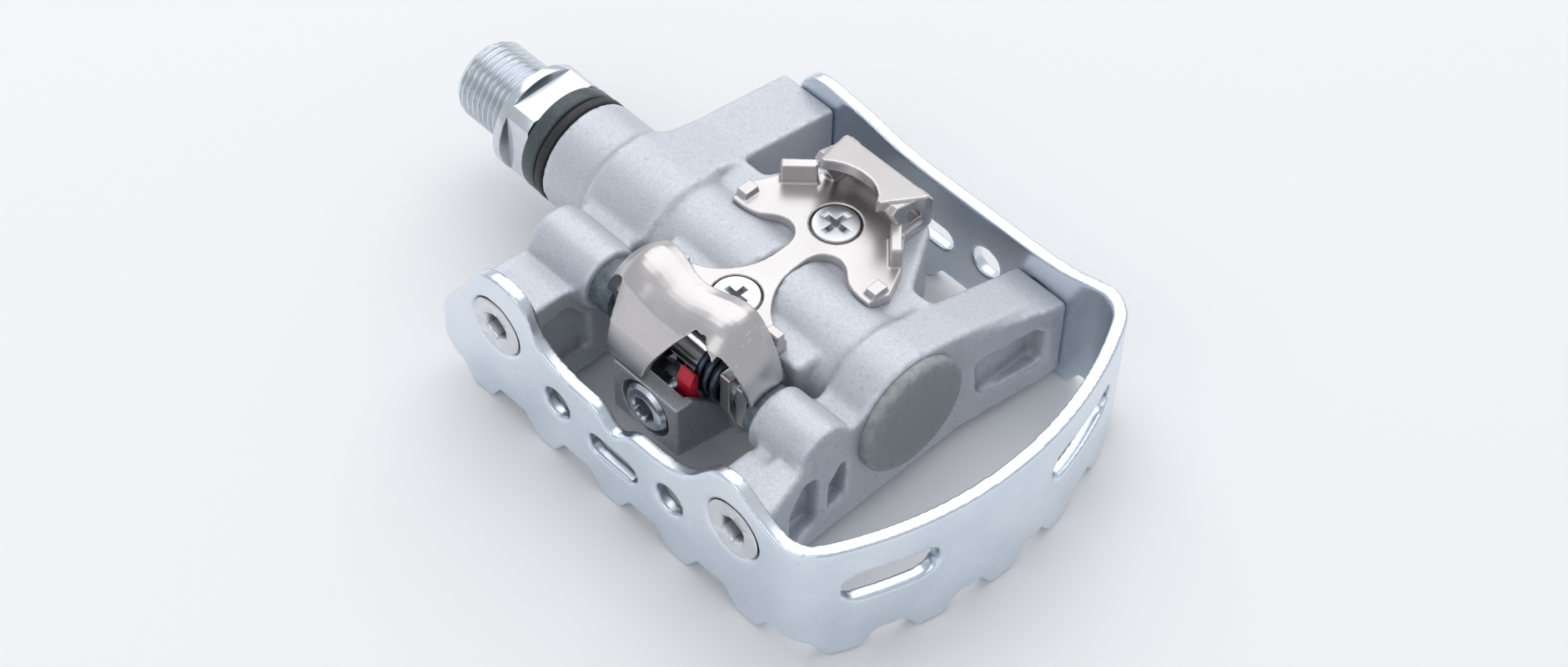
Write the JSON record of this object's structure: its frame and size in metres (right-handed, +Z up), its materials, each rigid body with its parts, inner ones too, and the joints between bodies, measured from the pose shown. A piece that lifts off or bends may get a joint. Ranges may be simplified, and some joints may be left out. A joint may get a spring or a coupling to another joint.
{
  "type": "clipless pedal",
  "caption": "Bicycle pedal with a sprung clipless jaw on the upper side and a flat toothed cage for plain shoes on the lower side.",
  "frame": {"origin": "where the spindle axis meets the face of the spindle collar that seats on the crank", "axes": "+X outward along the spindle, +Y to the front of the pedal, +Z up on the binding side"},
  "size_m": [0.1195, 0.0704, 0.0372],
  "materials": {
    "spindle_steel": "turned and plated steel",
    "ring_plastic": "moulded dark grey",
    "seal_rubber": "moulded black",
    "bearing_steel": "ground and hardened",
    "zinc_steel": "zinc plated",
    "cap_plastic": "fine grained",
    "body_paint": "silver paint over a casting",
    "jaw_chrome": "polished plating",
    "screw_steel": "plated",
    "block_steel": "dull grey",
    "flag_red": "moulded red",
    "spring_steel": "blued",
    "bush_plastic": "moulded dark",
    "cage_zinc": "bright plated strip"
  },
  "bodies": {
    "spindle": {"spindle": "spindle_steel", "dust_ring": "ring_plastic", "outer_cone": "bearing_steel", "lock_washer": "zinc_steel", "lock_nut": "zinc_steel"},
    "pedal": {"pedal_body": "body_paint", "cage": "cage_zinc", "cage_bolts": "screw_steel", "end_cap": "cap_plastic", "seal_lip": "seal_rubber", "inner_cup": "bearing_steel", "outer_cup": "bearing_steel", "cleat_plate": "jaw_chrome", "plate_screws": "screw_steel", "binding_pin": "bearing_steel", "pin_plug": "body_paint", "pin_bushes": "bush_plastic", "spring_inner": "spring_steel", "spring_outer": "spring_steel"},
    "inner_ball_row": {"inner_balls": "bearing_steel"},
    "outer_ball_row": {"outer_balls": "bearing_steel"},
    "jaw": {"rear_binding": "jaw_chrome", "tension_block": "block_steel"},
    "adjuster": {"tension_bolt": "zinc_steel"},
    "adjuster_nut": {"tension_nut": "zinc_steel", "tension_indicator": "flag_red"}
  },
  "joints": [
    {"name": "pedal_spin", "type": "hinge", "parent": "spindle", "child": "pedal", "pos_m": [0.04, 0, 0], "axis": [1, 0, 0], "continuous": true},
    {"name": "inner_row_spin", "type": "hinge", "parent": "spindle", "child": "inner_ball_row", "pos_m": [0.0176, 0, 0], "axis": [1, 0, 0], "continuous": true},
    {"name": "outer_row_spin", "type": "hinge", "parent": "spindle", "child": "outer_ball_row", "pos_m": [0.0746, 0, 0], "axis": [1, 0, 0], "continuous": true},
    {"name": "jaw_open", "type": "hinge", "parent": "pedal", "child": "jaw", "pos_m": [0.0562, -0.0173, 0.0038], "axis": [1, 0, 0], "range_deg": [0, 18], "stiffness_Nm_per_rad": 1.2, "springref_deg": -40.11, "deforming": ["spring_inner", "spring_outer"]},
    {"name": "tension_turn", "type": "hinge", "parent": "jaw", "child": "adjuster", "pos_m": [0.0562, -0.025, -0.0012], "axis": [0, 1, 0], "range_deg": [-360, 360]},
    {"name": "tension_nut_slide", "type": "slide", "parent": "jaw", "child": "adjuster_nut", "axis": [0, 1, 0], "range_m": [-0.00085, 0.00085]}
  ],
  "couplings": [
    {"joint": "inner_row_spin", "follows": "pedal_spin", "ratio": 0.594},
    {"joint": "outer_row_spin", "follows": "pedal_spin", "ratio": 0.597},
    {"joint": "tension_nut_slide", "follows": "tension_turn", "m_per_rad": 0.00011141}
  ]
}
